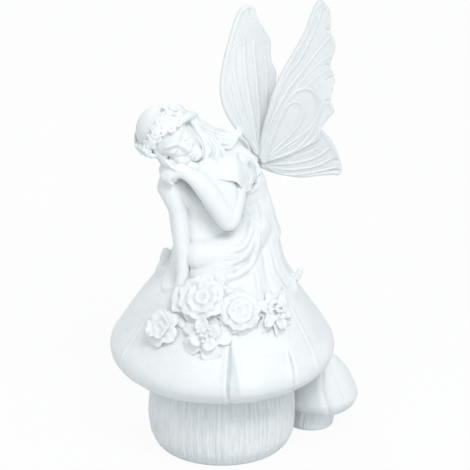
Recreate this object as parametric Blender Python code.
"""Garden figurine: a winged fairy asleep over her raised knee, sitting on a mushroom.

The real object is one resin casting, so it is one solid here.
Lengths are in millimetres, and the meshes are scaled to metres when they are made.
X is to the viewer's right, -Y towards the viewer and Z up. The origin is the middle of the flat base.
"""

import math

import bmesh
import bpy
from mathutils import Matrix, Vector

MM = 0.001

# Stem of the large mushroom
BASE_RADIUS = 44.0
STEM_RADIUS = 49.0
STEM_BULGE_HEIGHT = 24.0
STEM_NECK_RADIUS = 46.0
STEM_RIDGES = 48
STEM_RIDGE_DEPTH = 0.9
BASE_EDGE = 2.0

# Cap of the large mushroom
CAP_RADIUS = 75.0
CAP_RIM_HEIGHT = 71.0
CAP_LIP_DROP = 14.0
CAP_LIP_INSET = 9.0
CAP_EDGE_DROP = 9.8
CAP_EDGE_INSET = 4.2
CAP_SLOPE = 1.42
CAP_BOW = 1.1
CAP_SHOULDER = 6.0
CAP_TOP_RADIUS = 16.0
CAP_SIDES = 40
# Each crease in the cap: degrees from the front, positive to the right, width in degrees,
# depth, and the share of the slope that it runs up from the rim
CAP_CREASES = (
    (4.0, 5.0, 4.0, 0.42),
    (-63.0, 3.5, 1.8, 0.70),
    (62.0, 3.5, 1.8, 0.70),
    (42.0, 3.5, 2.2, 0.45),
    (-118.0, 3.5, 1.8, 0.70),
    (118.0, 3.5, 1.8, 0.70),
    (176.0, 4.5, 2.6, 0.60),
)

# Small mushroom at the viewer's right
SMALL_X = 67.0
SMALL_Y = 25.0
SMALL_CAP_RADIUS = 24.5
SMALL_RIM_HEIGHT = 22.0
SMALL_TOP_HEIGHT = 53.0
SMALL_LIP_DROP = 8.0
SMALL_STEM_RADIUS = 13.5
SMALL_STEM_X = 61.0
SMALL_STEM_REACH = 17.0

# Skirt, which sits on the cap where the cap has this radius
SKIRT_RADIUS = 42.0
SKIRT_FOLDS = 13
SKIRT_FOLD_DEPTH = 1.2
SKIRT_CLOTH = 2.6
HEM_RADIUS = 46.0
HEM_PETAL_LENGTH = 6.0
HEM_CURL = 5.0
HEM_LEFT_INSET = 6.5

# Head, in its own frame: x to her left, -y out of the face, z to the crown
HEAD_X, HEAD_Y, HEAD_RISE = -35.2, -18.0, 108.4
SKULL_RADIUS = 17.0
FACE_WIDTH = 24.0
CHIN_DROP = 22.0
WREATH_RADIUS = 17.0
WREATH_RISE = 11.5
WREATH_TILT = 15.0
WREATH_BUD_COUNT = 22

# Limbs
ARM_RADIUS = 7.0
WRIST_RADIUS = 5.0
SHIN_RADIUS = 6.0
KNEE_RADIUS = 8.0
THIGH_RADIUS = 13.0

# Wings
WING_ROOT = (22.0, 14.0, 78.0)
WING_THICKNESS = 2.6
WING_RIB = 1.4
WING_ROOT_DEPTH = 4.0
HIND_WING_SET_BACK = 1.9

# Flowers on the front of the cap
FLOWER_SIZE = 14.0
PETAL_THICKNESS = 2.8

# Surface
SCULPT_VOXEL = 1.1
SCULPT_FACES_KEPT = 0.046
SHARP_ANGLE = 40.0


def clear_scene():
    for old in list(bpy.data.objects):
        bpy.data.objects.remove(old)


def smooth_path(points, steps):
    """Points of any dimension on a Catmull-Rom curve through the given ones."""
    rows = [tuple(p) for p in points]
    rows = [rows[0], *rows, rows[-1]]
    path = []
    for i in range(len(rows) - 3):
        a, b, c, d = rows[i : i + 4]
        for k in range(steps):
            t = k / steps
            path.append(
                tuple(
                    0.5
                    * (
                        2 * q
                        + (r - p) * t
                        + (2 * p - 5 * q + 4 * r - s) * t**2
                        + (3 * q - p - 3 * r + s) * t**3
                    )
                    for p, q, r, s in zip(a, b, c, d)
                )
            )
    path.append(rows[-2])
    return path


def along(profile, radius):
    """Height of a (radius, height) outline at that radius."""
    for (r0, z0), (r1, z1) in zip(profile, profile[1:]):
        if r0 <= radius <= r1:
            return z0 + (z1 - z0) * (radius - r0) / (r1 - r0)
    return profile[-1][1]


def cap_outline():
    """The cap's upper outline from its top to its widest line, as (radius, height)."""
    rim = CAP_RIM_HEIGHT
    cone = lambda r: rim + (CAP_RADIUS - r) * CAP_SLOPE + 4.5
    shoulder = CAP_RADIUS - CAP_SHOULDER
    middle = 0.5 * (CAP_TOP_RADIUS + shoulder)
    points = [
        (0.0, cone(CAP_TOP_RADIUS) + 4.0),
        (CAP_TOP_RADIUS, cone(CAP_TOP_RADIUS)),
        (middle, cone(middle) + CAP_BOW),
        (shoulder - 3.0, cone(shoulder - 3.0)),
        (CAP_RADIUS - 2.7, rim + 8.0),
        (CAP_RADIUS - 0.6, rim + 3.5),
        (CAP_RADIUS, rim),
    ]
    return smooth_path(points, 2)


CAP_OUTLINE = cap_outline()
SEAT_HEIGHT = along(CAP_OUTLINE, SKIRT_RADIUS)


def on_cap(azimuth, radius, lift=0.0):
    """A point on the cap, and its outward normal. Azimuth 0 is the front, positive to the right."""
    turn = math.radians(azimuth)
    out = Vector((math.sin(turn), -math.cos(turn), 0))
    rise = along(CAP_OUTLINE, radius - 1) - along(CAP_OUTLINE, radius + 1)
    normal = (out * rise + Vector((0, 0, 2))).normalized()
    return out * radius + Vector((0, 0, along(CAP_OUTLINE, radius))) + normal * lift, normal


def above_seat(x, y, rise):
    return Vector((x, y, SEAT_HEIGHT + rise))


def frame_at(origin, z_axis, x_hint):
    """A matrix with its z along z_axis and its x as near to x_hint as it can be."""
    z = Vector(z_axis).normalized()
    x = Vector(x_hint)
    x = (x - z * x.dot(z)).normalized()
    matrix = Matrix((x, z.cross(x), z)).transposed().to_4x4()
    matrix.translation = origin
    return matrix


# Closed shapes that are merged into one sculpted surface


def add_ball(bm, centre, radii, matrix=Matrix.Identity(4)):
    size = Matrix.Diagonal((*radii, 1.0))
    place = matrix @ Matrix.Translation(Vector(centre)) @ size
    bmesh.ops.create_icosphere(bm, subdivisions=3, radius=1.0, matrix=place)


def add_limb(bm, stations, side=(1, 0, 0), matrix=Matrix.Identity(4), steps=4, sides=14):
    """A rounded tube through stations of (x, y, z, half width, half depth)."""
    path = smooth_path(stations, steps)
    middles = [Vector(p[:3]) for p in path]
    halves = [p[3:5] for p in path]
    rings = []
    for i, (middle, (wide, deep)) in enumerate(zip(middles, halves)):
        before, after = middles[max(i - 1, 0)], middles[min(i + 1, len(path) - 1)]
        ahead = (after - before).normalized()
        rings.append((middle, wide, deep, ahead))
    first, last = rings[0], rings[-1]
    start = [bulged(first, -sin_cos) for sin_cos in (1.2, 0.8, 0.4)]
    end = [bulged(last, sin_cos) for sin_cos in (0.4, 0.8, 1.2)]
    loops = []
    for middle, wide, deep, ahead in [*start, *rings, *end]:
        across = Vector(side) - ahead * ahead.dot(Vector(side))
        across.normalize()
        through = ahead.cross(across)
        loop = []
        for k in range(sides):
            turn = 2 * math.pi * k / sides
            out = across * wide * math.cos(turn) + through * deep * math.sin(turn)
            loop.append(bm.verts.new(matrix @ (middle + out)))
        loops.append(loop)
    close_tube(bm, loops)


def bulged(ring, angle):
    """The ring moved and shrunk to lie on the rounded end of a tube."""
    middle, wide, deep, ahead = ring
    shift = ahead * min(wide, deep) * math.sin(angle)
    return middle + shift, wide * math.cos(angle), deep * math.cos(angle), ahead


def close_tube(bm, loops):
    """Skins a list of vertex loops and caps both ends, facing out."""
    count = len(loops[0])
    for low, high in zip(loops, loops[1:]):
        for k in range(count):
            m = (k + 1) % count
            bm.faces.new((low[k], low[m], high[m], high[k]))
    bm.faces.new(loops[0][::-1])
    bm.faces.new(loops[-1])


def add_petal(bm, matrix, length, width, thickness, tilt, spin, start=0.0):
    """A flat oval petal from near the flower's middle, raised by tilt and turned by spin."""
    turned = (
        matrix
        @ Matrix.Rotation(spin, 4, "Z")
        @ Matrix.Rotation(-tilt, 4, "Y")
        @ Matrix.Translation((start + length / 2, 0, 0))
    )
    add_ball(bm, (0, 0, 0), (length / 2, width / 2, thickness / 2), turned)


def mesh_object(name, bm, colour):
    """A new object with the mesh in metres and a plain resin material."""
    bmesh.ops.scale(bm, vec=(MM, MM, MM), verts=bm.verts)
    bmesh.ops.recalc_face_normals(bm, faces=bm.faces)
    mesh = bpy.data.meshes.new(name)
    bm.to_mesh(mesh)
    bm.free()
    obj = bpy.data.objects.new(name, mesh)
    bpy.context.scene.collection.objects.link(obj)
    obj.data.materials.append(colour)
    mesh.shade_smooth()
    mesh.set_sharp_from_angle(angle=math.radians(SHARP_ANGLE))
    return obj


def resin_material():
    material = bpy.data.materials.new("white_resin")
    material.use_nodes = True
    shader = material.node_tree.nodes["Principled BSDF"]
    shader.inputs["Base Color"].default_value = (0.86, 0.88, 0.88, 1.0)
    shader.inputs["Roughness"].default_value = 0.5
    shader.inputs["Metallic"].default_value = 0.0
    return material


# Mushrooms


def even_azimuths(sides):
    return [360.0 * k / sides for k in range(sides)]


def turned_mesh(outline, azimuths, depth_at, centre=(0.0, 0.0)):
    """A turned solid from an outline of (radius, height) that starts and ends on the axis."""
    bm = bmesh.new()
    sides = len(azimuths)
    loops = []
    for index, (radius, height) in enumerate(outline[1:-1], 1):
        loop = []
        for azimuth in azimuths:
            r = radius - depth_at(azimuth, index)
            turn = math.radians(azimuth)
            x = centre[0] + r * math.sin(turn)
            y = centre[1] - r * math.cos(turn)
            loop.append(bm.verts.new((x, y, height)))
        loops.append(loop)
    for high, low in zip(loops, loops[1:]):
        for k in range(sides):
            m = (k + 1) % sides
            bm.faces.new((low[k], low[m], high[m], high[k]))
    for loop, (_, height) in ((loops[0], outline[0]), (loops[-1][::-1], outline[-1])):
        pole = bm.verts.new((*centre, height))
        for k in range(sides):
            bm.faces.new((loop[k], loop[(k + 1) % sides], pole))
    return bm


def crease_gap(azimuth, middle):
    return abs((azimuth - middle + 180.0) % 360.0 - 180.0)


def cap_azimuths():
    """Even steps, with three lines of their own for each crease."""
    kept = [a for a in even_azimuths(CAP_SIDES) if all(crease_gap(a, c[0]) > c[1] + 1.5 for c in CAP_CREASES)]
    own = [(c[0] + side * c[1]) % 360.0 for c in CAP_CREASES for side in (-1, 0, 1)]
    return sorted(kept + own)


def cap_mesh():
    """The cap, from its top down over the rim and in under the lip to the stem."""
    lip = CAP_RIM_HEIGHT - CAP_LIP_DROP
    under = [
        (CAP_RADIUS - 1.2, CAP_RIM_HEIGHT - CAP_EDGE_DROP * 0.5),
        (CAP_RADIUS - CAP_EDGE_INSET, CAP_RIM_HEIGHT - CAP_EDGE_DROP),
        (CAP_RADIUS - CAP_LIP_INSET, lip),
        (CAP_RADIUS - CAP_LIP_INSET - 5.0, lip - 0.4),
        (STEM_NECK_RADIUS + 4.0, lip + 2.5),
        (STEM_NECK_RADIUS - 6.0, lip + 5.0),
    ]
    outline = [*CAP_OUTLINE, *under, (0.0, lip + 5.0)]
    inner = CAP_TOP_RADIUS

    def crease_depth(azimuth, index):
        radius, height = outline[index]
        if height < lip - 0.5 or radius <= inner or radius < STEM_NECK_RADIUS and height < CAP_RIM_HEIGHT:
            return 0.0
        up = (CAP_RADIUS - radius) / (CAP_RADIUS - inner) if height >= CAP_RIM_HEIGHT else 0.0
        total = 0.0
        for middle, width, depth, reach in CAP_CREASES:
            gap = crease_gap(azimuth, middle)
            if gap < width and up < reach:
                total += depth * (1 - gap / width) * (1 - up / reach)
        return total

    return turned_mesh(outline, cap_azimuths(), crease_depth)


def stem_mesh():
    """The ribbed barrel under the cap, on its flat base."""
    top = CAP_RIM_HEIGHT - CAP_LIP_DROP + 6.0
    bulge = STEM_BULGE_HEIGHT
    outline = [
        (0.0, top),
        (STEM_NECK_RADIUS - 1.0, top),
        (STEM_NECK_RADIUS, top - 10.0),
        (STEM_RADIUS, bulge + 5.0),
        (STEM_RADIUS - 0.6, bulge * 0.5),
        (BASE_RADIUS + 1.2, bulge * 0.16),
        (BASE_RADIUS, BASE_EDGE),
        (BASE_RADIUS - BASE_EDGE, 0.0),
        (0.0, 0.0),
    ]

    def ridge_depth(azimuth, index):
        height = outline[index][1]
        if height < BASE_EDGE * 2 or height >= top:
            return 0.0
        return STEM_RIDGE_DEPTH * (0.5 - 0.5 * math.cos(math.radians(azimuth * STEM_RIDGES)))

    return turned_mesh(outline, even_azimuths(2 * STEM_RIDGES), ridge_depth)


def small_cap_mesh():
    rim, top, wide = SMALL_RIM_HEIGHT, SMALL_TOP_HEIGHT, SMALL_CAP_RADIUS
    lip = rim - SMALL_LIP_DROP
    outline = [
        (0.0, top),
        (wide * 0.18, top - 0.8),
        (wide * 0.35, top - 3.5),
        (wide * 0.52, rim + (top - rim) * 0.76),
        (wide * 0.70, rim + (top - rim) * 0.58),
        (wide - 3.0, rim + (top - rim) * 0.3),
        (wide - 0.6, rim + 3.5),
        (wide, rim),
        (wide - 1.5, rim - 4.5),
        (wide - 4.5, lip),
        (SMALL_STEM_RADIUS - 3.0, lip + 2.0),
        (0.0, lip + 2.0),
    ]

    def groove(azimuth, index):
        radius, height = outline[index]
        return 1.2 if crease_gap(azimuth, 0.0) < 1.0 and height > lip and radius > 6.0 else 0.0

    return turned_mesh(outline, even_azimuths(28), groove, (SMALL_X, SMALL_Y))


def small_stem_mesh():
    """The small stem leans into the large one, so its foot is an oval that reaches it."""
    bm = bmesh.new()
    top = SMALL_RIM_HEIGHT - SMALL_LIP_DROP + 5.0
    loops = []
    for share in (0.0, 0.08, 0.5, 1.0):
        height = share * top
        shrink = 1.0 if 0 < share < 1 else 0.92
        loop = []
        for k in range(28):
            turn = 2 * math.pi * k / 28
            x = SMALL_STEM_X + share * 3.0 + SMALL_STEM_RADIUS * shrink * math.cos(turn)
            if math.cos(turn) < 0:
                x = SMALL_STEM_X + share * 3.0 + SMALL_STEM_REACH * shrink * math.cos(turn)
            y = SMALL_Y - 1.0 + SMALL_STEM_RADIUS * shrink * math.sin(turn)
            loop.append(bm.verts.new((x, y, height)))
        loops.append(loop)
    close_tube(bm, loops)
    return bm


# The fairy


def add_legs(bm):
    right_knee = above_seat(-35, -20, 73)
    add_limb(
        bm,
        [
            (*above_seat(12, 8, 26), THIGH_RADIUS, THIGH_RADIUS),
            (*above_seat(-8, -3, 48), THIGH_RADIUS - 1, THIGH_RADIUS - 1),
            (*right_knee, KNEE_RADIUS + 0.5, KNEE_RADIUS + 0.5),
        ],
    )
    add_limb(
        bm,
        [
            (*right_knee, KNEE_RADIUS, KNEE_RADIUS),
            (*above_seat(-31, -21, 63), SHIN_RADIUS, SHIN_RADIUS + 1.5),
            (*above_seat(-28.5, -23, 47), SHIN_RADIUS + 0.3, SHIN_RADIUS + 2),
            (*above_seat(-26.5, -27, 29), SHIN_RADIUS - 1, SHIN_RADIUS),
            (*above_seat(-26.5, -30.5, 12), SHIN_RADIUS - 2.2, SHIN_RADIUS - 2),
            (*above_seat(-27.5, -33, 5), SHIN_RADIUS - 1.2, SHIN_RADIUS - 1.8),
        ],
    )
    add_limb(
        bm,
        [
            (*above_seat(-27, -30, 5), 4.2, 4.2),
            (*above_seat(-28, -35, 1), 5.2, 4.2),
            (*above_seat(-28.5, -39, -3.5), 4.8, 3.0),
        ],
    )
    # The lower thigh, level across the lap, and the cloth that hangs from its knee
    add_limb(
        bm,
        [
            (*above_seat(20, -2, 33), THIGH_RADIUS, THIGH_RADIUS),
            (*above_seat(10, -13, 25), THIGH_RADIUS + 0.8, THIGH_RADIUS + 0.8),
            (*above_seat(-3, -22, 24), THIGH_RADIUS, THIGH_RADIUS),
            (*above_seat(-15, -26, 25), THIGH_RADIUS - 2.5, THIGH_RADIUS - 2.5),
        ],
    )
    add_limb(
        bm,
        [
            (*above_seat(-8, -24, 25), 14, 10),
            (*above_seat(-9, -28, 12), 15, 9),
            (*above_seat(-8, -31, 2), 15, 8),
        ],
    )


def hem_point(turn, lift):
    """A point of the skirt's petalled edge, that far above the cap. Turn is 0 to the right."""
    petal = abs(math.sin(SKIRT_FOLDS * turn / 2))
    # The edge curls clear of the cap at the right and, less, at the left
    curl = max(0.0, math.cos(turn)) ** 12 + 0.7 * max(0.0, math.cos(turn - 2.9)) ** 12
    reach = HEM_RADIUS + HEM_PETAL_LENGTH * (petal - 0.5) + curl * HEM_CURL * 0.6
    reach -= HEM_LEFT_INSET * max(0.0, -math.cos(turn)) ** 4
    height = along(CAP_OUTLINE, reach) + lift + curl * HEM_CURL
    return Vector((reach * math.cos(turn), reach * math.sin(turn), height))


def add_skirt(bm):
    """The skirt lies over the cap in soft folds and ends in petals that point down it."""
    rings = (
        (-4, 3, 2, 44.5, 42.0, 1.0),
        (2, 4, 3, 40.0, 38.0, 1.0),
        (10, 8, 4, 33.0, 32.0, 0.9),
        (20, 14, 5, 25.0, 23.0, 0.7),
        (30, 19, 6, 19.0, 17.0, 0.4),
        (40, 20, 6, 15.0, 13.0, 0.1),
        (46, 20, 6, 13.0, 11.0, 0.0),
    )
    spread = SKIRT_RADIUS / 42.0
    turns = [2 * math.pi * k / (SKIRT_FOLDS * 6) for k in range(SKIRT_FOLDS * 6)]
    loops = [[bm.verts.new(hem_point(turn, -SKIRT_CLOTH * 2)) for turn in turns]]
    loops.append([bm.verts.new(hem_point(turn, SKIRT_CLOTH)) for turn in turns])
    for rise, x, y, wide, deep, fold in rings:
        loop = []
        for turn in turns:
            wave = fold * SKIRT_FOLD_DEPTH * -math.cos(SKIRT_FOLDS * turn)
            across = x + wide * spread * math.cos(turn) * (1 - 0.13 * max(0.0, -math.cos(turn)) ** 4)
            back = y + deep * spread * math.sin(turn)
            # Cloth that would sink into the cap lies on it instead
            floor = along(CAP_OUTLINE, math.hypot(across, back)) + SKIRT_CLOTH
            loop.append(bm.verts.new((across, back, max(SEAT_HEIGHT + rise, floor) + wave)))
        loops.append(loop)
    close_tube(bm, loops)
    # The hem turns up at the right, and stands up in a frill at the left
    for curl in (
        ((40, 5, -3, 3.2), (46, 5, -6, 2.8), (50.5, 5, -5, 2.2), (53, 4.5, 1, 1.3)),
        ((-29, 2, 4, 5.0), (-35, 1, 6, 4.4), (-38.5, 0, 10, 3.4), (-37.5, 0, 16, 2.2)),
    ):
        add_limb(bm, [(*above_seat(*c[:3]), c[3], c[3]) for c in curl], sides=10)
    peplum = [(50, 13.4, 11.6), (38, 16.2, 14.6), (28, 19.0, 17.4), (25, 19.4, 17.8)]
    add_limb(
        bm,
        [(*above_seat(20, 6.5, rise), wide, deep) for rise, wide, deep in peplum],
        sides=28,
    )
    # Draped folds of the apron over the near thigh
    folds = (
        ((22, -8, 42), (24, -14, 32), (22, -21, 24), (15, -29, 18), (6, -34, 14)),
        ((18, -12, 42), (18, -19, 35), (12, -27, 29), (3, -32, 27), (-6, -34, 27)),
    )
    for fold in folds:
        add_limb(bm, [(*above_seat(*p), 2.6, 2.6) for p in fold], sides=8)


def add_torso(bm):
    add_limb(
        bm,
        [
            (*above_seat(20, 6, 42), 14.5, 12.5),
            (*above_seat(19.5, 6, 49), 13.6, 12),
            (*above_seat(17, 5.5, 58), 13.2, 11.5),
            (*above_seat(14, 4, 69), 14, 12.5),
            (*above_seat(8, 3, 79), 13, 10),
            (*above_seat(4, 1, 85), 8, 7.5),
            (*above_seat(-8, -5, 93), 6.5, 6.5),
            (*above_seat(-18, -10, 98), 7, 7),
        ],
        side=(0.8, -0.6, 0),
        sides=20,
    )
    # Her bust, and the front of the bodice, which falls to the lap as one smooth sheet
    add_ball(bm, above_seat(5.5, -8, 67), (9.5, 9.0, 9.5))
    add_ball(bm, above_seat(-3, -1, 68), (9.0, 9.0, 9.0))
    add_limb(
        bm,
        [
            (*above_seat(-8, -2, 78), 10, 7),
            (*above_seat(-11, -4, 66), 15, 9),
            (*above_seat(-12, -5, 54), 16, 10),
            (*above_seat(-10, -7, 42), 16, 11),
        ],
    )
    # The swelling on her back that the four wings grow from
    root_x, root_y, root_rise = WING_ROOT
    add_limb(
        bm,
        [
            (*above_seat(root_x - 12, root_y - 10, root_rise - 4), 8, 8),
            (*above_seat(root_x - 4, root_y - 3, root_rise - 1), 6.5, 6.5),
            (*above_seat(root_x + 4, root_y + 2.5, root_rise + 1), 4.5, 4.5),
        ],
    )


def add_arms(bm):
    elbow = (*above_seat(4.5, -27, 50.5), ARM_RADIUS, ARM_RADIUS)
    add_limb(
        bm,
        [
            (*above_seat(10.5, -8, 81), ARM_RADIUS + 1.3, ARM_RADIUS + 1.3),
            (*above_seat(9, -17, 67.5), ARM_RADIUS + 0.2, ARM_RADIUS + 0.2),
            elbow,
        ],
    )
    add_limb(
        bm,
        [
            elbow,
            (*above_seat(-9, -30, 71.5), ARM_RADIUS - 0.4, ARM_RADIUS - 0.4),
            (*above_seat(-20, -31, 85), WRIST_RADIUS + 0.3, WRIST_RADIUS),
        ],
    )
    # Flesh and cloth between the forearm, the upper arm and the chin
    add_limb(
        bm,
        [
            (*above_seat(3.5, -25.5, 57), 7.0, 6.2),
            (*above_seat(0.5, -23.5, 71), 10.5, 7.2),
            (*above_seat(-5.5, -23, 82), 11.0, 7.4),
            (*above_seat(-12, -22.5, 89), 8.5, 6.4),
        ],
        side=(1, 0, 0.3),
    )
    # The near hand, bent over the knee
    add_limb(
        bm,
        [
            (*above_seat(-20, -31, 86), 5.2, 4.6),
            (*above_seat(-28, -31.5, 88.8), 5.4, 4.4),
            (*above_seat(-34, -31.5, 85), 6.0, 4.6),
            (*above_seat(-36, -31, 80), 4.4, 3.4),
        ],
        side=(0.3, -0.2, 0.9),
    )
    # One finger left along her cheek
    add_limb(
        bm,
        [
            (*above_seat(-27, -34, 90), 2, 2),
            (*above_seat(-32, -35, 93), 1.8, 1.8),
            (*above_seat(-37, -33, 97), 1.6, 1.6),
        ],
    )
    # The hidden arm, behind the raised knee
    add_limb(
        bm,
        [
            (*above_seat(-3, 14, 80), ARM_RADIUS + 0.5, ARM_RADIUS + 0.5),
            (*above_seat(-16, 15, 68), ARM_RADIUS - 0.5, ARM_RADIUS - 0.5),
            (*above_seat(-28, 11, 58), ARM_RADIUS - 0.8, ARM_RADIUS - 0.8),
            (*above_seat(-34, -2, 69), WRIST_RADIUS + 0.6, WRIST_RADIUS + 0.6),
            (*above_seat(-37, -12, 81), WRIST_RADIUS, WRIST_RADIUS),
            (*above_seat(-35, -22, 87), WRIST_RADIUS, WRIST_RADIUS - 1),
        ],
    )


# The open edge of the near sleeve, round the root of the arm
SLEEVE_EDGE = (
    (-2.7, -31, 83),
    (1.3, -30.5, 80),
    (7.3, -27, 79.5),
    (12, -25.5, 73.5),
    (18, -19.5, 68),
    (21.5, -12, 65.5),
    (24.3, -8, 67.5),
    (25.3, -4.5, 73),
    (24.5, -2, 79),
    (21, 0, 84),
    (16, 2, 88),
    (9, 0, 92),
    (0, -8, 93),
    (-5, -18, 92),
    (-6, -26, 88),
)
SLEEVE_TOP = (9.0, -8.0, 93.0)
ARM_ROOT = (9.0, -12.0, 79.0)
# From the shoulder out to the edge and back in: how far along, and how far towards the arm
SLEEVE_PROFILE = ((0.2, 0.0), (0.5, 0.0), (0.8, 0.0), (1.0, 0.0), (1.0, 0.22), (0.8, 0.45))


def add_sleeve(bm):
    """A short sleeve like an open bell, hollow underneath."""
    top, root = above_seat(*SLEEVE_TOP), above_seat(*ARM_ROOT)
    edge = smooth_path([*SLEEVE_EDGE, SLEEVE_EDGE[0]], 2)[:-1]
    loops = []
    for out, inward in SLEEVE_PROFILE:
        loop = []
        for point in edge:
            place = top.lerp(above_seat(*point), out)
            place += (place - root).normalized() * 2.5 * math.sin(math.pi * out)
            loop.append(bm.verts.new(place.lerp(root, inward)))
        loops.append(loop)
    close_tube(bm, loops)


def head_frame():
    """Her head leans far over to the viewer's left, with the face to the front."""
    left, crown = Vector((0.569, 0.288, 0.770)), Vector((-0.741, -0.227, 0.632))
    return frame_at(above_seat(HEAD_X, HEAD_Y, HEAD_RISE), crown, left)


def add_head(bm, matrix):
    half = FACE_WIDTH / 2
    add_ball(bm, (0, 1.5, 4), (SKULL_RADIUS - 2, SKULL_RADIUS, SKULL_RADIUS), matrix)
    add_limb(
        bm,
        [
            (0, -2, 6, half, 13),
            (0, -3, -2, half, 12.5),
            (0, -4.5, -9, half - 1.5, 10.5),
            (0, -7, -14.5, half - 4.5, 8),
            (0, -9.5, -CHIN_DROP + 3, 4, 4.5),
        ],
        matrix=matrix,
        sides=24,
    )
    add_limb(bm, [(0, -14, -1, 1.5, 1.5), (0, -15.5, -7, 1.6, 1.8), (0, -16.3, -10.5, 2.3, 2.2)], matrix=matrix)
    for side in (-1, 1):
        add_ball(bm, (side * 5.6, -12.2, -3.5), (3.6, 2.2, 2.4), matrix)
        add_ball(bm, (side * 6.5, -10.0, -9.5), (4.5, 4.0, 4.5), matrix)
        add_ball(bm, (side * 13.0, 1.5, -3.5), (2.0, 3.4, 4.6), matrix)
    add_ball(bm, (0, -14.2, -14.2), (3.4, 1.6, 0.9), matrix)
    add_ball(bm, (0, -13.9, -15.9), (2.8, 1.6, 1.0), matrix)


def add_hair(bm, matrix):
    add_ball(bm, (0, 2.5, 5.0), (SKULL_RADIUS - 0.5, SKULL_RADIUS, SKULL_RADIUS), matrix)
    # The hairline, from one temple over the forehead to the other, then down behind the ears
    add_limb(
        bm,
        [
            (-14, 4, -6, 4.0, 4.0),
            (-14.5, -1, 4, 3.4, 3.4),
            (-12, -8, 11, 3.2, 3.2),
            (-6, -12.5, 14, 3.2, 3.2),
            (1, -13.5, 13, 3.2, 3.2),
            (8, -12, 9.5, 3.4, 3.4),
            (13, -7.5, 4.5, 3.8, 3.8),
            (15.5, -2, 0, 4.2, 4.2),
            (16, 4, -6, 4.5, 4.5),
        ],
        side=(0, 0, 1),
        matrix=matrix,
    )
    # The mass that falls from her head over the near shoulder and down her back
    add_limb(
        bm,
        [
            (*above_seat(-28, -5, 112), 10, 10),
            (*above_seat(-17, -3, 107), 10, 10),
            (*above_seat(-6, 0, 99), 9.5, 9.5),
            (*above_seat(4, 4, 94), 8.5, 8.5),
            (*above_seat(11, 9, 84), 6.5, 6.5),
            (*above_seat(16, 13, 68), 4.5, 4.5),
        ],
    )
    # A roll swept past the end of the wreath, and a lock before the ear
    add_limb(
        bm,
        [
            (6, -14, 9, 2.0, 2.0),
            (11.6, -12, 5.6, 2.8, 2.8),
            (17, -8.5, 1.5, 3.2, 3.2),
            (19, -3, -4, 3.2, 3.2),
            (17, 4, -12, 3.0, 3.0),
        ],
        side=(0, 0, 1),
        matrix=matrix,
    )
    add_limb(bm, [(-10, -8, 10, 3, 3), (-13.5, -6, 2, 3.2, 3.2), (-17.5, -3.5, -8, 2, 2)], matrix=matrix)
    locks = (
        ((-13, -10, 111), (-4, -11.5, 103), (2, -12, 98.5), (7, -8.5, 98.5), (11, -2, 102)),
        ((-20, -15, 113), (-13.5, -18, 104), (-11.5, -20, 96), (-8.5, -22.5, 89), (-3, -23.5, 80)),
        ((-14, -12, 111), (-6, -15, 103), (-3, -17.5, 96.5), (-3, -20, 91), (0, -21.5, 84.5)),
        ((-12, 4, 104), (-2, 11, 97), (4, 15, 86), (7, 16, 72), (6, 17, 60)),
        ((-10, 8, 103), (0, 14, 96), (10, 16, 84), (15, 17, 70), (17, 18, 58)),
    )
    for lock in locks:
        widths = (3.6, 3.6, 3.4, 3.0, 1.8)
        add_limb(bm, [(*above_seat(*p), w, w) for p, w in zip(lock, widths)])


def add_wreath(bm, matrix):
    """A band of small blossoms round the head, with a berry bunch and one large flower."""
    lean = math.radians(WREATH_TILT)
    band = matrix @ Matrix.Translation((0, 2.0, WREATH_RISE)) @ Matrix.Rotation(-lean, 4, "X")
    ring = []
    for k in range(WREATH_BUD_COUNT):
        turn = 2 * math.pi * k / WREATH_BUD_COUNT
        wave = 1.6 if k % 2 else -1.2
        ring.append((WREATH_RADIUS * math.sin(turn), -WREATH_RADIUS * math.cos(turn), wave))
    for x, y, z in ring:
        add_ball(bm, (x, y, z), (2.9, 2.9, 2.9), band)
    core = [(x, y, 0.0, 2.0, 2.0) for x, y, _ in [*ring, ring[0]]]
    add_limb(bm, core, side=(0, 0, 1), matrix=band, steps=1, sides=8)
    for k in range(7):
        turn = 2 * math.pi * k / 7
        place = (-17.5, -5 + 4.4 * math.cos(turn), 9.5 + 4.4 * math.sin(turn))
        add_ball(bm, place, (2.8, 2.8, 2.8), matrix)
    add_ball(bm, (-19.5, -5, 9.5), (3.2, 3.2, 3.2), matrix)
    bloom = matrix @ frame_at(Vector((15.5, -7, 10.5)), (0.85, -0.45, 0.3), (0, 0, 1))
    for k in range(5):
        add_petal(bm, bloom, 8.0, 6.5, 2.6, math.radians(30), 2 * math.pi * k / 5)
    add_ball(bm, (0, 0, 2), (2.4, 2.4, 2.4), bloom)


# Flowers: degrees from the front, distance out on the cap, share of the full size, kind, spin
FLOWERS = (
    (-42.5, 57.0, 0.90, "cup", 0.3),
    (-10.5, 57.0, 1.04, "star", 0.9),
    (-18.5, 42.0, 1.26, "rose", 0.0),
    (13.0, 47.5, 1.08, "rose", 0.4),
    (40.5, 50.5, 1.04, "lily", 0.6),
)
# Each kind's rings of petals: how many, their reach, their tilt in degrees and their width
FLOWER_RINGS = {
    "rose": ((6, 1.00, 14, 1.0), (5, 0.78, 42, 1.0), (3, 0.50, 70, 1.1)),
    "cup": ((6, 1.05, 12, 0.95), (6, 0.85, 38, 0.95), (3, 0.55, 65, 1.0)),
    "star": ((6, 1.15, 10, 0.72), (5, 0.85, 32, 0.75)),
    "lily": ((7, 1.10, 12, 0.50), (6, 0.90, 35, 0.50)),
}


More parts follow.
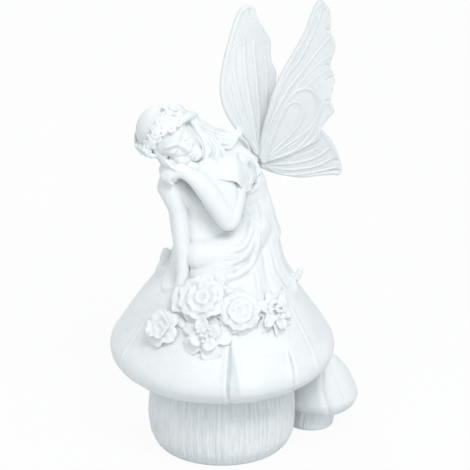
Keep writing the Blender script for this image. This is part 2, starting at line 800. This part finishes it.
def add_flowers(bm):
    for azimuth, out, share, kind, spin in FLOWERS:
        point, normal = on_cap(azimuth, out, 1.5)
        matrix = frame_at(point, normal, (1, 0, 0))
        size = FLOWER_SIZE * share
        add_ball(bm, (0, 0, 0), (size * 0.6, size * 0.6, size * 0.42), matrix)
        for count, reach, tilt, width in FLOWER_RINGS[kind]:
            length = size * reach
            for k in range(count):
                turn = spin + 2 * math.pi * k / count + tilt
                add_petal(bm, matrix, length, length * width, PETAL_THICKNESS, math.radians(tilt), turn)
        for k in range(6 if kind in ("star", "lily") else 0):
            turn = 2 * math.pi * k / 6
            reach = size * 0.26
            add_ball(bm, (reach * math.cos(turn), reach * math.sin(turn), size * 0.45), (1.6, 1.6, 1.6), matrix)


def fairy_mesh():
    bm = bmesh.new()
    head = head_frame()
    add_legs(bm)
    add_skirt(bm)
    add_torso(bm)
    add_arms(bm)
    add_sleeve(bm)
    add_head(bm, head)
    add_hair(bm, head)
    add_wreath(bm, head)
    add_flowers(bm)
    return bm


# Wings: outlines in each wing's own plane, measured out and up from the root
NEAR_WING = {
    "azimuth": 22.0,
    "tilt": -5.0,
    "set_back": 0.0,
    "leading": ((1, 2), (3, 12), (6, 27), (10, 44), (15, 58), (23, 72), (32, 88), (37, 103), (41.5, 112)),
    "trailing": ((4, -4), (20, -3), (34, 1), (46, 6), (47, 15), (55, 26), (53, 38), (55.5, 50), (52, 61), (55, 75), (51, 90), (49, 103), (44.5, 110.5)),
}
NEAR_HIND_WING = {
    "azimuth": NEAR_WING["azimuth"],
    "tilt": NEAR_WING["tilt"],
    "set_back": HIND_WING_SET_BACK,
    "leading": ((3, 2), (20, 7), (34, 13), (46, 13), (55, 3), (60, -7), (64, -19), (64, -24)),
    "trailing": ((3, -8), (14, -15), (26, -20), (37, -23.3), (48, -24), (56, -25), (61.5, -26)),
}
FAR_WING = {
    "azimuth": 37.0,
    "tilt": 15.0,
    "set_back": 0.0,
    "leading": ((-2, 3), (-6, 15), (-12, 23), (-17, 33), (-19, 43), (-18, 54), (-12, 69), (-4, 84), (5, 98), (13, 102)),
    "trailing": ((4, -2), (10, 12), (19, 30), (26, 47), (25, 60), (27, 71), (24, 81), (20.5, 88), (18.5, 97), (15.5, 101)),
}
FAR_HIND_WING = {
    "azimuth": FAR_WING["azimuth"],
    "tilt": FAR_WING["tilt"],
    "set_back": HIND_WING_SET_BACK,
    "leading": ((3, 2), (12, 10), (22, 9), (34, 6), (43, -2), (46, -9), (47, -17), (46.5, -20.5)),
    "trailing": ((3, -8), (12, -13), (20, -17), (28, -20), (35, -21), (41, -22), (44.5, -22)),
}


def wing_mesh(wing, spans, chords):
    """A plate between a leading and a trailing edge, with ribs that fan out from the root."""
    azimuth, tilt = math.radians(wing["azimuth"]), math.radians(wing["tilt"])
    out = Vector((math.cos(azimuth), math.sin(azimuth), 0))
    face = Vector((-math.sin(azimuth), math.cos(azimuth), 0))
    up = face * math.sin(tilt) + Vector((0, 0, math.cos(tilt)))
    normal = out.cross(up)
    root = above_seat(*WING_ROOT) - normal * wing["set_back"]
    leading = resampled(smooth_path(wing["leading"], 6), spans)
    trailing = resampled(smooth_path(wing["trailing"], 6), spans)
    bm = bmesh.new()
    sheets = []
    for sign in (1, -1):
        sheet = []
        for i in range(spans + 1):
            row = []
            for j in range(chords + 1):
                share = j / chords
                a, b = (p + (q - p) * share for p, q in zip(leading[i], trailing[i]))
                edge = min(1.0, 4 * share * (1 - share) + 0.35) if 0 < i < spans else 0.4
                rib = WING_RIB * (1 if j % 2 else 0) * (1 - i / spans)
                front = WING_RIB if j == 1 else 0.0
                root_swell = WING_ROOT_DEPTH * max(0.0, 1 - i / (spans * 0.25))
                half = (WING_THICKNESS / 2 + rib * 0.5 + front + root_swell * 0.5) * edge
                row.append(bm.verts.new(root + out * a + up * b + normal * half * sign))
            sheet.append(row)
        sheets.append(sheet)
    front, back = sheets
    for i in range(spans):
        for j in range(chords):
            bm.faces.new((front[i][j], front[i][j + 1], front[i + 1][j + 1], front[i + 1][j]))
            bm.faces.new((back[i][j], back[i + 1][j], back[i + 1][j + 1], back[i][j + 1]))
    for i in range(spans):
        for j in (0, chords):
            bm.faces.new((front[i][j], front[i + 1][j], back[i + 1][j], back[i][j]))
    for j in range(chords):
        for i in (0, spans):
            bm.faces.new((front[i][j], front[i][j + 1], back[i][j + 1], back[i][j]))
    return bm


def resampled(path, count):
    """The path as count + 1 points at equal steps of its length."""
    points = [Vector(p) for p in path]
    lengths = [0.0]
    for a, b in zip(points, points[1:]):
        lengths.append(lengths[-1] + (b - a).length)
    result = []
    for k in range(count + 1):
        want = lengths[-1] * k / count
        i = next((n for n in range(1, len(points)) if lengths[n] >= want - 1e-9), len(points) - 1)
        step = lengths[i] - lengths[i - 1]
        share = (want - lengths[i - 1]) / step if step else 0.0
        result.append(points[i - 1].lerp(points[i], share))
    return result


def sculpted(obj):
    """Merges the overlapping shapes into one skin, softens it and thins its faces."""
    remesh = obj.modifiers.new("one_skin", "REMESH")
    remesh.mode = "VOXEL"
    remesh.voxel_size = SCULPT_VOXEL * MM
    remesh.use_smooth_shade = True
    soften = obj.modifiers.new("soften", "SMOOTH")
    soften.factor = 0.5
    soften.iterations = 3
    thin = obj.modifiers.new("thin", "DECIMATE")
    thin.ratio = SCULPT_FACES_KEPT


def joined(target, others):
    """Fuses the other shapes into the target with a Boolean union."""
    for other in others:
        union = target.modifiers.new(f"with_{other.name}", "BOOLEAN")
        union.operation = "UNION"
        union.solver = "EXACT"
        union.object = other
        other.hide_render = True
        other.display_type = "WIRE"


def main():
    clear_scene()
    resin = resin_material()
    figurine = mesh_object("fairy_figurine", cap_mesh(), resin)
    stem = mesh_object("shape_stem", stem_mesh(), resin)
    small_stem = mesh_object("shape_small_stem", small_stem_mesh(), resin)
    small_cap = mesh_object("shape_small_cap", small_cap_mesh(), resin)
    fairy = mesh_object("shape_fairy", fairy_mesh(), resin)
    sculpted(fairy)
    wings = [
        mesh_object(f"shape_{name}", wing_mesh(wing, spans, chords), resin)
        for name, wing, spans, chords in (
            ("near_wing", NEAR_WING, 17, 8),
            ("far_wing", FAR_WING, 14, 8),
            ("near_hind_wing", NEAR_HIND_WING, 9, 6),
            ("far_hind_wing", FAR_HIND_WING, 8, 5),
        )
    ]
    joined(figurine, [stem, small_stem, small_cap, *wings, fairy])


main()
